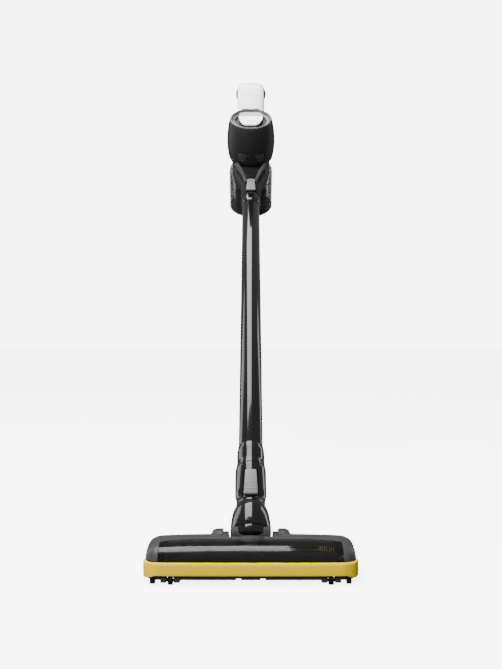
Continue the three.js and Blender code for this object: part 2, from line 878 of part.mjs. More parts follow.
// ---- Hand unit: handle ----

// The handle's centre line: [along the stick, to its front, half width, half thickness].
const handleRows = [
  [962, 98, 28, 15],
  [980, 113.5, 28.6, 14.6],
  [1001, 129, 28.8, 14],
  [1020, 138, 28.6, 13.6],
  [1038, 134.5, 27.6, 14],
  [1053, 119, 26, 14.6],
  [1061, 104, 23.4, 14.8],
  [1061, 86, 20.4, 14.8],
  [1057, 64, 18.8, 14.6],
  [1052, 42, 18.8, 14.8],
  [1050, 30, 19.4, 15],
];
const gripRow = 8; // the row in the middle of the hand
const handleCurve = new THREE.CatmullRomCurve3(handleRows.map(([s, t]) => new THREE.Vector3(0, -t, s)));

function handleRing(row, wider, power = 2.7) {
  const share = row / (handleRows.length - 1);
  const low = Math.min(Math.floor(row), handleRows.length - 2);
  const mix = (k) => THREE.MathUtils.lerp(handleRows[low][k], handleRows[low + 1][k], row - low);
  const centre = handleCurve.getPoint(share);
  const along = handleCurve.getTangent(share);
  const outwards = new THREE.Vector3(0, -along.z, along.y);
  return oval(0, mix(2) + wider, mix(3) + wider, mix(3) + wider, power, 20).map((p) =>
    centre.clone().addScaledVector(outwards, -p.y).add(new THREE.Vector3(p.x, 0, 0)),
  );
}

function handleBody(wider) {
  const steps = 15;
  return loft(
    Array.from({ length: steps + 1 }, (_, k) => handleRing((k / steps) * (handleRows.length - 1), wider)),
  );
}

function handle() {
  const towerRoom = bar("y", 51.4, -140, -deckLow, [0, 0, towerAt], 26);
  const full = handleBody(0).subtract(towerRoom).subtract(block([-40, -29.75, 900], [40, 0, 1100]));
  const innerSide = slab(
    [
      [-112, 1018],
      [-112, 1047],
      [-104, 1053],
      [-88, 1055],
      [-64, 1050.5],
      [-20, 1042],
      [-20, 1018],
    ],
    -40,
    26,
  );
  const trigger = block([-8, -103, 1038], [8, -76, 1057]);
  const triggerRoom = block([-8.6, -104, 1032], [8.6, -75, 1062.4]);
  const white = full.subtract(innerSide).subtract(triggerRoom);
  const pads = [1, -1].map((side) => {
    const dome = new THREE.SphereGeometry(1, 12, 8).scale(9, 16, 14).translate(side * 22, -119, 1047);
    return solid(dome).subtract(handleBody(gap));
  });
  piece(stick, "handle_shell", white, material.white);
  piece(stick, "grip_pad_right", pads[0], material.rubber);
  piece(stick, "grip_pad_left", pads[1], material.rubber);
  const lining = full.intersect(innerSide).subtract(triggerRoom);
  const shave = slab(
    [
      [-111.6, 1018.4],
      [-111.6, 1046.6],
      [-103.7, 1052.6],
      [-88, 1054.6],
      [-64, 1050.1],
      [-20, 1041.6],
      [-20, 1018.4],
    ],
    -40,
    26,
  );
  piece(stick, "grip_lining", lining.intersect(shave), material.rubber);
  const rounded = solid(
    new THREE.CylinderGeometry(16, 16, 16, 28, 1).rotateZ(Math.PI / 2).scale(1, 1, 1.05).translate(0, -89.5, 1054),
  );
  piece(stick, "trigger", trigger.intersect(rounded), material.grey);
}

// The dock under the grip, which joins it to the tower, and the battery that slides on below it.
function battery() {
  const bridge = ovals(
    [
      [968, 21, 29.4, -deckLow - 0.5, 4],
      [981, 23, 29.4, -deckLow - 0.5, 4],
    ],
    20,
  );
  const dock = ovals(
    [
      [980, 23, 29.4, -3, 4],
      [1000, 25, 29.4, -3, 4],
      [1060, 26, 29.4, -3, 4],
      [1074, 25, 27, -4, 4],
      [1077, 22, 22, -8, 4],
    ],
    20,
  );
  const collarRoom = bar("y", 46, -60, -collarLow + 0.6, [0, 0, towerAt], 26);
  const towerRoom = bar("y", 41, -60, 0, [0, 0, towerAt], 26).add(collarRoom);
  piece(stick, "battery_dock", bridge.add(dock).subtract(towerRoom), material.charcoal);
  const pack = ovals(
    [
      [984, 25, -2.4, 44, 4],
      [987, 28, -2.4, 47, 4],
      [1070, 28, -2.4, 47, 4],
      [1076, 25.5, -2.4, 43, 4],
    ],
    20,
  );
  const room = block([-9.4, 12, 1068.4], [9.4, 30, 1080]);
  piece(stick, "battery_pack", pack.subtract(room), material.charcoal);
  piece(stick, "battery_release", block([-9, 12.4, 1071], [9, 29.6, 1077.4]), material.grey);
}

handle();
battery();

// The origin lies in the middle of the grip, on the handle's centre line.
const gripAt = handleCurve.getPoint(gripRow / (handleRows.length - 1));
stick.updateMatrix();
vacuum.position.copy(gripAt.applyMatrix4(stick.matrix)).negate();

export default vacuum;
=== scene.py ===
# Cordless stick vacuum cleaner: the looks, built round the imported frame.
# Local sizes are in millimetres, and the scene's in metres.
import json
import math
import random

import bmesh
import bpy
import numpy as np
from mathutils import Matrix, Vector


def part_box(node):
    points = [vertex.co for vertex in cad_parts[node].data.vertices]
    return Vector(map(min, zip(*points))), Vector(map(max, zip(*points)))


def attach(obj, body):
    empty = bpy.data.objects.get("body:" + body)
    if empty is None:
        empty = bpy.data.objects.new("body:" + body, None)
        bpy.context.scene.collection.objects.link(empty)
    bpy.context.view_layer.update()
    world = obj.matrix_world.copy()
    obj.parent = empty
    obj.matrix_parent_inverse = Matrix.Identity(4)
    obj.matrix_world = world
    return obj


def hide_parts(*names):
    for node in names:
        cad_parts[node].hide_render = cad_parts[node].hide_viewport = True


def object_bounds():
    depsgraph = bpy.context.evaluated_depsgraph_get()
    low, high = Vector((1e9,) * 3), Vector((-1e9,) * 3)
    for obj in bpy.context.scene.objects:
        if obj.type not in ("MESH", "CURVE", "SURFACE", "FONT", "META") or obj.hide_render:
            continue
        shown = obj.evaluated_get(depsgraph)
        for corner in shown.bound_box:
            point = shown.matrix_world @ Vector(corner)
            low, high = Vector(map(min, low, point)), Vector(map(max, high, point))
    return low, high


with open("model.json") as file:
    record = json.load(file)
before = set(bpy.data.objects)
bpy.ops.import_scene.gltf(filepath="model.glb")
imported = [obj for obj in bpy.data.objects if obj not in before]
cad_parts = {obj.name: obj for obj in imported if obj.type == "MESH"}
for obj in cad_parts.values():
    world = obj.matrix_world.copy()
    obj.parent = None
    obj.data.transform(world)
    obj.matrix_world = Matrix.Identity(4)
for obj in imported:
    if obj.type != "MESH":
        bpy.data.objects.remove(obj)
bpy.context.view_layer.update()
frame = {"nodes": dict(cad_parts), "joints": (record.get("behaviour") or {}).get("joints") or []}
joints = {joint["name"]: joint for joint in frame["joints"]}
rng = random.Random(7)

# ---- Frames of the object ----
MM = 0.001
PIVOT_Y, PIVOT_Z = 72, 38  # the pitch hinge in the head's frame
FAN_AT = 60  # the fan's joint along the tower's axis
UPPER_BUTTON, LOWER_BUTTON = 834.4, 77  # the release buttons' middles along the stick
BEZEL_AT = 119.5  # the top bezel's seat along the tower's axis
TILE_SPLIT = 14  # where the raised tile divides into indicator and key

# ---- Camera, backdrop and light, in metres ----
CAMERA_AHEAD, CAMERA_UP, CAMERA_RIGHT = 0.9348, 0.3051, 0.0003
SENSOR_MM, LENS_MM = 24, 27.785
ROOM_GLOW, BACKDROP_GLOW, FLOOR_GLOW = 0.2, 6.5, 5.4


def axes(origin, x, y, z):
    turn = Matrix((x, y, z)).transposed().to_4x4()
    turn.translation = origin
    return turn @ Matrix.Scale(MM, 4)


side = Vector((1, 0, 0))
along = Vector(joints["neck_swivel"]["axis"]).normalized()
front = Vector(joints["fan_spin"]["axis"]).normalized()
pivot = Vector(joints["neck_swivel"]["pos_m"])
tower_at = Vector(joints["fan_spin"]["pos_m"]) - front * FAN_AT * MM
HEAD = axes(pivot - Vector((0, PIVOT_Y, PIVOT_Z)) * MM, side, Vector((0, 1, 0)), Vector((0, 0, 1)))
STICK = axes(pivot, side, -front, along)
TOWER = axes(tower_at, side, along, front)


def spot(joint, place):
    """A joint's place in one of the frames, in millimetres."""
    return place.inverted() @ Vector(joints[joint]["pos_m"])


def half_width(node):
    low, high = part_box(node)
    return (high.x - low.x) / 2 / MM


roller_at = spot("roller_spin", HEAD)
rear_at = spot("rear_wheel_right_spin", HEAD)
small_at = spot("front_wheel_right_spin", HEAD)
container_radius = half_width("dust_container")
tube_radius = half_width("suction_tube")
head_half = half_width("head_chassis") + 2.6
window_half = half_width("roller_window")
roller_half = half_width("bristle_row_a") + 2
gap = 0.35


# ---- Materials ----
def node(tree, kind, **sockets):
    made = tree.nodes.new(kind)
    for name, value in sockets.items():
        made.inputs[name.replace("_", " ")].default_value = value
    return made


def ranged(tree, source, low, high):
    """Maps a 0 to 1 value to a span."""
    made = node(tree, "ShaderNodeMapRange", From_Min=0.3, From_Max=0.7, To_Min=low, To_Max=high)
    tree.links.new(source, made.inputs["Value"])
    return made.outputs["Result"]


def blended(tree, factor, first, second):
    made = tree.nodes.new("ShaderNodeMix")
    made.data_type = "RGBA"
    tree.links.new(factor, made.inputs["Factor"])
    for socket, value in ((made.inputs[6], first), (made.inputs[7], second)):
        if isinstance(value, tuple):
            socket.default_value = (*value, 1)
        else:
            tree.links.new(value, socket)
    return made.outputs[2]


def noise(tree, grain_mm, detail=3, stretch=(1, 1, 1)):
    """Clouds of that size in the object's own space."""
    place = tree.nodes.new("ShaderNodeTexCoord")
    scaled = node(tree, "ShaderNodeMapping", Scale=stretch)
    made = node(tree, "ShaderNodeTexNoise", Scale=1 / (grain_mm * MM), Detail=detail)
    tree.links.new(place.outputs["Object"], scaled.inputs["Vector"])
    tree.links.new(scaled.outputs["Vector"], made.inputs["Vector"])
    return made.outputs["Fac"]


def lighter(colour, share):
    return tuple(min(1, max(0, c * (1 + share))) for c in colour)


def finish(
    name, colour, rough, grain=0.35, bump=0.15, vary=0.1, spread=0.12, wear=0.0, stretch=(1, 1, 1),
    **direct
):
    """A moulded or metal surface: cloudy colour, uneven gloss, a fine grain and rubbed edges."""
    look = bpy.data.materials.new(name)
    look.use_nodes = True
    tree = look.node_tree
    shader = tree.nodes["Principled BSDF"]
    clouds = noise(tree, 22)
    body = blended(tree, ranged(tree, clouds, 0, 1), lighter(colour, -vary), lighter(colour, vary))
    if wear:
        edges = node(tree, "ShaderNodeMapRange", From_Min=0.52, From_Max=0.6, To_Max=wear)
        tree.links.new(
            tree.nodes.new("ShaderNodeNewGeometry").outputs["Pointiness"], edges.inputs["Value"]
        )
        body = blended(tree, edges.outputs["Result"], body, lighter(colour, 1.5))
    tree.links.new(body, shader.inputs["Base Color"])
    smears = noise(tree, 9, 6, stretch)
    tree.links.new(
        ranged(tree, smears, rough * (1 - spread), rough * (1 + spread)), shader.inputs["Roughness"]
    )
    relief = node(tree, "ShaderNodeBump", Strength=bump, Distance=0.00012)
    tree.links.new(noise(tree, grain, 2, stretch), relief.inputs["Height"])
    tree.links.new(relief.outputs["Normal"], shader.inputs["Normal"])
    for socket, value in direct.items():
        shader.inputs[socket.replace("_", " ")].default_value = value
    return look


looks = {
    "charcoal": finish(
        "charcoal", (0.015, 0.015, 0.0152), 0.5, bump=0.3, wear=0.02, Specular_IOR_Level=0.3
    ),
    "graphite": finish(
        "graphite", (0.034, 0.034, 0.034), 0.36, bump=0.2, wear=0.05, Specular_IOR_Level=0.4
    ),
    "black": finish("black", (0.004, 0.004, 0.0043), 0.12, grain=1.2, bump=0.02, Coat_Weight=0.5),
    "white": finish(
        "white", (0.9, 0.905, 0.91), 0.24, grain=1.4, bump=0.02, vary=0.01, Coat_Weight=0.3
    ),
    "grey": finish("grey", (0.13, 0.13, 0.126), 0.42, bump=0.25, wear=0.05),
    "yellow": finish("yellow", (0.8, 0.56, 0.0), 0.42, bump=0.12, vary=0.02, Specular_IOR_Level=0.15),
    "smoked": finish(
        "smoked", (0.012, 0.012, 0.011), 0.08, grain=3, bump=0.01, Alpha=0.68, Coat_Weight=0.3
    ),
    "window": finish(
        "window", (0.005, 0.005, 0.0045), 0.08, grain=3, bump=0.01, Alpha=0.42, Coat_Weight=0.8
    ),
    "rubber": finish(
        "rubber", (0.009, 0.009, 0.009), 0.72, grain=0.5, bump=0.5, Specular_IOR_Level=0.3
    ),
    "bristle": finish("bristle", (0.55, 0.6, 0.02), 0.55, grain=0.2, bump=0.3, vary=0.2),
    "metal": finish("metal", (0.5, 0.5, 0.51), 0.3, bump=0.2, stretch=(0.1, 1, 1), Metallic=1.0),
    "motor_can": finish(
        "motor_can", (0.6, 0.6, 0.61), 0.36, bump=0.3, stretch=(1, 0.1, 1), Metallic=1.0
    ),
    # Near-black for the inlet funnel, darker than the charcoal: painted shade of the recess between the
    # release button and the barrel.
    "recess_shade_black": finish("recess_shade_black", (0.006, 0.006, 0.006), 0.42, bump=0.2, Specular_IOR_Level=0.3),
    "dish": finish("dish", (0.07, 0.07, 0.07), 0.24, bump=0.08, Coat_Weight=0.3),
    "board": finish("board", (0.01, 0.09, 0.035), 0.4, grain=1, bump=0.3),
    "paper": finish("paper", (0.5, 0.5, 0.46), 0.9, grain=0.6, bump=0.7),
    "panel": finish(
        "panel", (0.24, 0.245, 0.24), 0.22, grain=1.2, bump=0.02, vary=0.02, Coat_Weight=0.4
    ),
    "impeller": finish("impeller", (0.2, 0.2, 0.2), 0.35, bump=0.2),
    "lamp": finish("lamp", (0.62, 0.75, 0.12), 0.3, grain=1.2, bump=0.05, vary=0.05),
}


# ---- Mesh building ----
def shade(piece, angle=32):
    work = bmesh.new()
    work.from_mesh(piece.data)
    bmesh.ops.remove_doubles(work, verts=work.verts, dist=2e-6)
    bmesh.ops.dissolve_degenerate(work, edges=work.edges, dist=1e-6)
    bmesh.ops.recalc_face_normals(work, faces=work.faces)
    work.to_mesh(piece.data)
    work.free()
    piece.data.shade_smooth()
    piece.data.set_sharp_from_angle(angle=math.radians(angle))
    return piece


def build(name, points, faces, place):
    mesh = bpy.data.meshes.new(name)
    mesh.from_pydata([place @ Vector(p) for p in points], [], faces)
    piece = bpy.data.objects.new(name, mesh)
    bpy.context.scene.collection.objects.link(piece)
    return shade(piece)


def rounded(points, radius, steps=4, closed=True):
    """An outline with each of its corners rounded."""
    made = []
    count = len(points)
    for i, point in enumerate(points):
        here = np.array(point, float)
        if not closed and i in (0, count - 1):
            made.append(tuple(here))
            continue
        back = np.array(points[i - 1], float) - here
        ahead = np.array(points[(i + 1) % count], float) - here
        reach = min(radius, np.linalg.norm(back) * 0.45, np.linalg.norm(ahead) * 0.45)
        start = here + back / np.linalg.norm(back) * reach
        end = here + ahead / np.linalg.norm(ahead) * reach
        for t in np.linspace(0, 1, steps + 1):
            made.append(tuple((1 - t) ** 2 * start + 2 * t * (1 - t) * here + t * t * end))
    return made


def spline(points, steps=8):
    """A smooth line through points of any dimension."""
    rows = [np.array(p, float) for p in points]
    rows = [2 * rows[0] - rows[1], *rows, 2 * rows[-1] - rows[-2]]
    made = []
    for a, b, c, d in zip(rows, rows[1:], rows[2:], rows[3:]):
        for t in np.arange(steps) / steps:
            square = (2 * a - 5 * b + 4 * c - d) * t**2
            cube = (3 * b - a - 3 * c + d) * t**3
            made.append(0.5 * (2 * b + (c - a) * t + square + cube))
    return [tuple(p) for p in [*made, rows[-2]]]


def lathe(name, profile, place, sides=128, axis="z", at=(0, 0, 0), closed=True):
    """A body turned about an axis from (radius, height) points."""
    points = []
    for k in range(sides):
        angle = 2 * math.pi * k / sides
        for r, h in profile:
            ring = (r * math.cos(angle), r * math.sin(angle), h)
            turned = {
                "z": ring, "x": (ring[2], ring[0], ring[1]), "y": (ring[1], ring[2], ring[0])
            }[axis]
            points.append(tuple(np.array(turned) + at))
    n = len(profile)
    rows = range(n) if closed else range(n - 1)
    faces = []
    for k in range(sides):
        this, other = k * n, (k + 1) % sides * n
        faces += [(this + i, this + (i + 1) % n, other + (i + 1) % n, other + i) for i in rows]
    return build(name, points, faces, place)


def loft(name, rings, place, closed=False):
    """A body through rings of points, capped at both ends unless it closes on itself."""
    n = len(rings[0])
    points = [tuple(p) for ring in rings for p in ring]
    pairs = [(k, k + 1) for k in range(len(rings) - 1)]
    if closed:
        pairs.append((len(rings) - 1, 0))
    faces = [
        (
            a * n + i, a * n + (i + 1) % n, b * n + (i + 1) % n, b * n + i
        ) for a, b in pairs for i in range(n)
    ]
    if not closed:
        faces += [tuple(range(n)), tuple(range(len(points) - n, len(points)))]
    return build(name, points, faces, place)


def prism(name, outline, low, high, place, axis="z", edge=0.0):
    """An outline pushed from low to high, with its rims rounded by edge."""
    turn = {
        "z": lambda a, b, h: (a, b, h), "x": lambda a, b, h: (h, a, b), "y": lambda a, b, h: (a, h, b)
    }[axis]
    piece = loft(name, [[turn(a, b, h) for a, b in outline] for h in (low, high)], place)
    return soften(piece, edge) if edge else piece


def box(name, low, high, place, edge=0.6):
    outline = [(low[0], low[1]), (high[0], low[1]), (high[0], high[1]), (low[0], high[1])]
    return prism(name, rounded(outline, edge, 3), low[2], high[2], place, edge=edge * 0.6)


def soften(piece, width, segments=3, angle=34):
    """Rounds the sharp edges of a piece."""
    step = piece.modifiers.new("edges", "BEVEL")
    step.width = width * MM
    step.segments = segments
    step.angle_limit = math.radians(angle)
    step.harden_normals = True
    return piece


def bake(piece):
    """Turns a piece's modifiers into its mesh."""
    shape = piece.evaluated_get(bpy.context.evaluated_depsgraph_get())
    mesh = bpy.data.meshes.new_from_object(shape)
    piece.modifiers.clear()
    piece.data = mesh
    return shade(piece)


def carve(piece, *cutters, way="DIFFERENCE"):
    """Cuts pieces away from a piece, or keeps what it shares with them."""
    for cutter in cutters:
        step = piece.modifiers.new("cut", "BOOLEAN")
        step.object = cutter
        step.operation = way
        step.solver = "EXACT"
        bake(piece)
        bpy.data.objects.remove(cutter)
    return piece


def dress(piece, look, body, *nodes, slot=None):
    """Gives a piece its finish, the body it rides on and the CAD nodes it stands for."""
    piece.data.materials.clear()
    piece.data.materials.append(looks[look])
    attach(piece, body)
    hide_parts(*nodes)
    return piece


def carry(name, look, edge=0.4):
    """A CAD node that is shown as it is, with rounded edges and a finish."""
    piece = frame["nodes"][name]
    piece.data.materials.clear()
    piece.data.materials.append(looks[look])
    return soften(piece, edge, 2)


def squircle(half, ahead, behind, power, sides):
    """A rounded oval in x and y, from -ahead to behind."""
    angles = (np.arange(sides) + 0.5) / sides * 2 * math.pi
    press = lambda v: np.sign(v) * np.abs(v) ** (2 / power)
    y = (behind - ahead) / 2 - press(np.sin(angles)) * (ahead + behind) / 2
    return list(zip(half * press(np.cos(angles)), y))


def ovals(name, rows, place, sides=96, steps=6):
    """A smooth body through (height, half width, front, back, power) rows."""
    rings = [
        [(x, y, z) for x, y in squircle(w, f, b, p, sides)] for z, w, f, b, p in spline(rows, steps)
    ]
    return loft(name, rings, place)


# ---- Floor head ----
def bezier(a, b, c, d, steps):
    t = np.linspace(0, 1, steps + 1)[1:, None]
    a, b, c, d = (np.array(p, float) for p in (a, b, c, d))
    return [
        tuple(p)
        for p in a * (1 - t) ** 3 + 3 * b * t * (1 - t) ** 2 + 3 * c * t * t * (1 - t) + d * t**3
    ]


def head_profile():
    """The head's side view, from the sole up its front, over the ridge and down its back."""
    line = [(12, 4), (4.5, 9), (3.4, 29.4)]
    line += bezier((3.4, 29.4), (4.5, 41), (16, 47.4), (31.5, 48.4), 18)
    line += bezier((31.5, 48.4), (42, 51.1), (58, 49.4), (68, 47.2), 12)
    line += bezier((68, 47.2), (84, 43.6), (98, 39), (100, 30), 14)
    return line + [(100, 9), (96, 4)]


def head_form(name, inset):
    """The head's full outer form, drawn in by inset."""
    profile = np.array(head_profile())
    stations = [
        (0, 1, 1), (0.46, 1, 0.993), (0.862, 0.99, 0.96), (0.948, 0.92, 0.91), (0.983, 0.83, 0.845)
    ]
    stations = spline([*stations, (1, 0.73, 0.74)], 9)
    rings = []
    for x, depth, height in [(-x, d, h) for x, d, h in stations[::-1]] + stations[1:]:
        y = 50 + (profile[:, 0] - 50) * depth * (1 - inset / 50)
        z = 4 + (profile[:, 1] - 4) * height * (1 - inset / 46.3)
        rings.append([(x * (head_half - inset), a, b) for a, b in zip(y, z)])
    return loft(name, rings, HEAD)


def plain_box(low, high):
    """A cutter in the head's frame."""
    return box("cutter", low, high, HEAD, 0.01)


def bumper():
    """The soft strip round the head's front, lower at its ends than in the middle."""
    half = half_width("bumper")
    corner = [(half, 19.6), (half, 17), (half - 3, 9), (half - 9, 4), (half - 19, 0.8), (60, 0)]
    outline = rounded(corner + [(-x, y) for x, y in reversed(corner)], 3.2, 5, closed=False)
    path = []
    for a, b in zip(outline, outline[1:]):
        count = max(1, int(math.dist(a, b) / 3))
        path += [tuple(np.array(a) + (np.array(b) - a) * k / count) for k in range(count)]
    path.append(outline[-1])
    rings = []
    for i, (x, y) in enumerate(path):
        before, after = path[max(0, i - 1)], path[min(len(path) - 1, i + 1)]
        run = np.array(after) - before
        inwards = np.array((-run[1], run[0])) / np.linalg.norm(run)
        inwards = inwards if inwards @ (np.array((0, 40)) - (x, y)) > 0 else -inwards
        low = 9 + 3.8 * min(1, max(0, (127 - abs(x)) / 11))
        section = rounded([(0, low), (0, 26.4), (0.9, 28.7), (3.4, 28.7), (3.4, low)], 1.2, 4)
        rings.append([(x + inwards[0] * d, y + inwards[1] * d, z) for d, z in section])
    dress(loft("bumper_strip", rings, HEAD), "yellow", "head", "bumper")


def covers():
    """The window over the roller, the cover behind it and the two end caps, cut from one thin shell."""
    inner = head_form("cutter", 2.2)
    shell = carve(head_form("shell", 0), inner, plain_box((-127, 6, -5), (127, 92, 12)))
    carve(shell, plain_box((-200, -5, 8), (200, 19.95, 29.75)))
    zones = {
        "roller_window": ((-window_half, -5, 29.75), (window_half, 31.5, 60)),
        "top_cover": ((-window_half, 31.85, 20), (window_half, 120, 60)),
        "end_cap_right": ((window_half + gap, -5, 9), (200, 130, 60)),
        "end_cap_left": ((-200, -5, 9), (-window_half - gap, 130, 60)),
    }
    made = {}
    for name, (low, high) in zones.items():
        part = shell.copy()
        part.data = shell.data.copy()
        part.name = name + "_shell"
        bpy.context.scene.collection.objects.link(part)
        made[name] = carve(part, plain_box(low, high), way="INTERSECT")
    bpy.data.objects.remove(shell)
    cover = made["top_cover"]
    carve(cover, box("cutter", (-38.2, 49, 0), (38.2, 130, 90), HEAD, 3))
    carve(cover, box("cutter", (-30, 44.4, 0), (30, 60, 90), HEAD, 5))
    for x in (35.5, -60):
        carve(cover, box("cutter", (x, 86, -5), (x + 24.5, 140, 60), HEAD, 3))
    lock = lathe(
        "cutter", [(0, 110), (10, 110), (10, 140), (0, 140)], HEAD, 64, "x", (0, *roller_at[1:]), False
    )
    carve(made["end_cap_right"], lock)
    dress(soften(made["roller_window"], 0.35), "window", "head", "roller_window", slot="smoked")
    for name in ("top_cover", "end_cap_right", "end_cap_left"):
        dress(soften(made[name], 0.5), "graphite", "head", name)


def hood():
    """The raised lip in front of the neck's recess, and the dark trim along the window's rear edge."""
    rings = []
    for x in np.linspace(-17.5, 17.5, 41):
        share = math.sqrt(max(0, 1 - (x / 17.6) ** 2))
        front_edge = (x, 38.5 - 5.6 * share, 49)
        crest = (x, 38.5, 49 + 3.4 * share)
        back = (x, 44 - 1.2 * share, 49.2 + 1.6 * share)
        rings.append([front_edge, crest, back, (x, 44, 48.6)])
    smooth = [spline(ring, 5) for ring in rings]
    dress(loft("neck_hood", smooth, HEAD), "charcoal", "head")
    trim = []
    for x in np.linspace(-window_half + 2, window_half - 2, 90):
        lift = 48.75 - 1.9 * max(0, (abs(x) - 60) / (window_half - 60)) ** 1.6
        drop = 5 * max(0, (abs(x) - 101) / 12)
        near, far = 32.6 - drop, 34.6 - drop
        trim.append([(x, near, lift), (x, far, lift + 0.3), (x, far, lift - 0.9), (x, near, lift - 1.2)])
    dress(loft("window_trim", trim, HEAD), "black", "head")


def wheel_rims():
    """Rear wheels with ribbed tyres and ringed hubs, and the small front wheels."""
    radius = rear_at.z
    for sign, word in ((1, "right"), (-1, "left")):
        inner = 37 * sign
        outer = 55.5 * sign
        at = (0, rear_at.y, rear_at.z)
        tread = [(radius - 3, inner), (radius - 0.8, inner), (radius, inner + sign)]
        for k in range(5):
            x = inner + sign * (1.6 + 1.5 * k)
            tread += [
                (radius, x), (radius - 0.55, x + sign * 0.25), (radius - 0.55, x + sign * 0.65),
                (radius, x + sign * 0.9)
            ]
        tread += [(radius - 1.6, outer - 5.5 * sign), (radius - 3, outer - 3.6 * sign)]
        tyre = lathe("rear_tyre_rim_" + word, tread, HEAD, 96, "x", at)
        dress(tyre, "graphite", "rear_wheel_" + word, "rear_tyre_" + word)
        hub = [
            (3.35, inner), (radius - 3.4, inner), (radius - 3.4, outer - 4.2 * sign),
            (radius - 4.6, outer - 3 * sign)
        ]
        hub += [
            (radius - 5.2, outer - 3.4 * sign), (radius - 6, outer - 2.2 * sign),
            (radius - 9.5, outer - 0.8 * sign)
        ]
        hub += [
            (radius - 10.2, outer - 1.5 * sign), (radius - 11, outer - 1.5 * sign),
            (radius - 11.8, outer - 0.2 * sign)
        ]
        hub += [(6.4, outer), (6, outer - sign), (3.35, outer - sign)]
        disc = lathe("rear_wheel_disc_" + word, rounded(hub, 0.4, 3), HEAD, 96, "x", at)
        dress(disc, "charcoal", "rear_wheel_" + word, "rear_wheel_hub_" + word)
        x = spot("front_wheel_" + word + "_spin", HEAD).x
        small = [
            (0, -8.4), (1.7, -8.4), (1.7, -3.25), (3.6, -3.25), (3.9, -2.6), (4.5, -3.25), (5.5, -2.4)
        ]
        small += [
            (5.5, -0.4), (5.2, 0), (5.5, 0.4), (5.5, 2.4), (4.5, 3.25), (3.9, 2.6), (3.6, 3.25),
            (1.7, 3.25), (1.7, 8.4), (0, 8.4)
        ]
        wheel = lathe(
            "front_wheel_tread_" + word, rounded(small, 0.25, 2, False), HEAD, 64, "x",
            (x, small_at.y, small_at.z), False
        )
        dress(wheel, "rubber", "front_wheel_" + word, "front_wheel_" + word)
        for lean in (-1, 1):
            near, far = sorted((x + lean * 4.5, x + lean * 12))
            block = box(
                f"wheel_holder_{word}_{'outer' if lean * sign > 0 else 'inner'}", (near, 4.6, 3.6),
                (far, 15, 8.7), HEAD, 1
            )
            dress(block, "graphite", "head")


def brush_roller():
    """The brush roller: a ribbed core and V-shaped rows of nylon tufts."""
    core = [
        (0, -119.4), (3, -119.4), (3, -roller_half - 0.5), (13, -roller_half), (14, -roller_half + 1)
    ]
    core += [
        (14, roller_half - 1), (13, roller_half), (5, roller_half + 0.5), (5, roller_half + 4),
        (0, roller_half + 4)
    ]
    at = (0, roller_at.y, roller_at.z)
    dress(lathe("roller_body", core, HEAD, 72, "x", at, False), "charcoal", "roller", "roller_core")
    turns = math.radians(110)
    for row, letter in enumerate("ab"):
        points, faces = [], []
        for x in np.arange(-roller_half + 3, roller_half - 2.9, 2.7):
            middle = row * math.pi + abs(x) / roller_half * turns
            for _ in range(12):
                tuft_hair(points, faces, x, middle)
        dress(
            build("roller_tufts_" + letter, points, faces, HEAD), "bristle", "roller",
            "bristle_row_" + letter
        )


def tuft_hair(points, faces, x, angle):
    """One nylon hair of a tuft."""
    foot = (x + rng.uniform(-0.7, 0.7), angle + rng.uniform(-0.05, 0.05))
    tip = (foot[0] + rng.uniform(-0.8, 0.8), foot[1] + rng.uniform(-0.05, 0.05))
    first = len(points)
    for (a, b), r, thick in ((foot, 13.8, 0.3), (tip, rng.uniform(19.4, 20.3), 0.17)):
        for k in range(3):
            turn = 2 * math.pi * k / 3
            sideways = b + thick * math.sin(turn) / r
            y = roller_at.y + r * math.cos(sideways)
            z = roller_at.z + r * math.sin(sideways)
            points.append((a + thick * math.cos(turn), y, z))
    faces += [
        (first + k, first + (k + 1) % 3, first + 3 + (k + 1) % 3, first + 3 + k) for k in range(3)
    ]
    faces.append((first + 3, first + 4, first + 5))


def roller_tunnel():
    """The dark wall of the chamber behind the roller."""
    wall = []
    for a in np.linspace(math.radians(-35), math.radians(84), 36):
        wall.append((roller_at.y + 21.6 * math.cos(a), roller_at.z + 21.6 * math.sin(a)))
    wall += [(y + 0.9, z + 0.2) for y, z in reversed(wall)]
    reach = roller_half + 1
    dress(prism("roller_tunnel", wall, -reach, reach, HEAD, axis="x"), "charcoal", "head")
    dress(box("tunnel_lip", (-98, 32, 38), (98, 33.2, 46), HEAD, 0.3), "charcoal", "head")


def lock_knob():
    """The knob that lets the roller out, with a grip bar across it."""
    rim = rounded(
        [(0, 113), (8, 113), (8, 127.8), (9.6, 128), (9.6, 131), (7.4, 131), (7, 130.2), (0, 130.2)],
        0.5, 3, False
    )
    at = (0, roller_at.y, roller_at.z)
    knob = lathe("roller_lock_turner", rim, HEAD, 72, "x", at, False)
    dress(knob, "grey", "roller_lock", "roller_lock_knob")
    y, z = roller_at.y, roller_at.z
    dress(
        box("roller_lock_grip", (130, y - 6, z - 1.3), (131, y + 6, z + 1.3), HEAD, 0.4), "grey",
        "roller_lock"
    )


bumper()
covers()
hood()
wheel_rims()
brush_roller()
roller_tunnel()
lock_knob()
carry("head_chassis", "charcoal", 0.5)
for name in (
    "rear_axle_right", "rear_axle_left", "hinge_pin_right", "hinge_pin_left", "motor_pulley",
    "roller_bearing"
):
    carry(name, "metal", 0.25)
carry("brush_motor", "motor_can")
carry("roller_pulley", "charcoal", 0.2)
carry("drive_belt", "rubber", 0.2)


# ---- Neck ----
def yoke():
    """The drum that pitches in the head, under the collar on which the neck turns."""
    drum = rounded([(4.4, -26), (20.5, -26), (20.5, 26), (4.4, 26)], 1.2, 4)
    barrel = lathe("yoke_barrel", drum, STICK, 128, "x")
    carve(barrel, box("cutter", (-40, -40, 7.6), (40, 40, 60), STICK, 0.01))
    dress(barrel, "charcoal", "yoke", "yoke_drum")
    skirt = rounded([(15, -9), (18, -9), (26, -2.2), (26.1, 7.7), (15, 7.7)], 0.8, 4)
    dress(lathe("yoke_collar", skirt, STICK, 160), "black", "yoke", slot="charcoal")


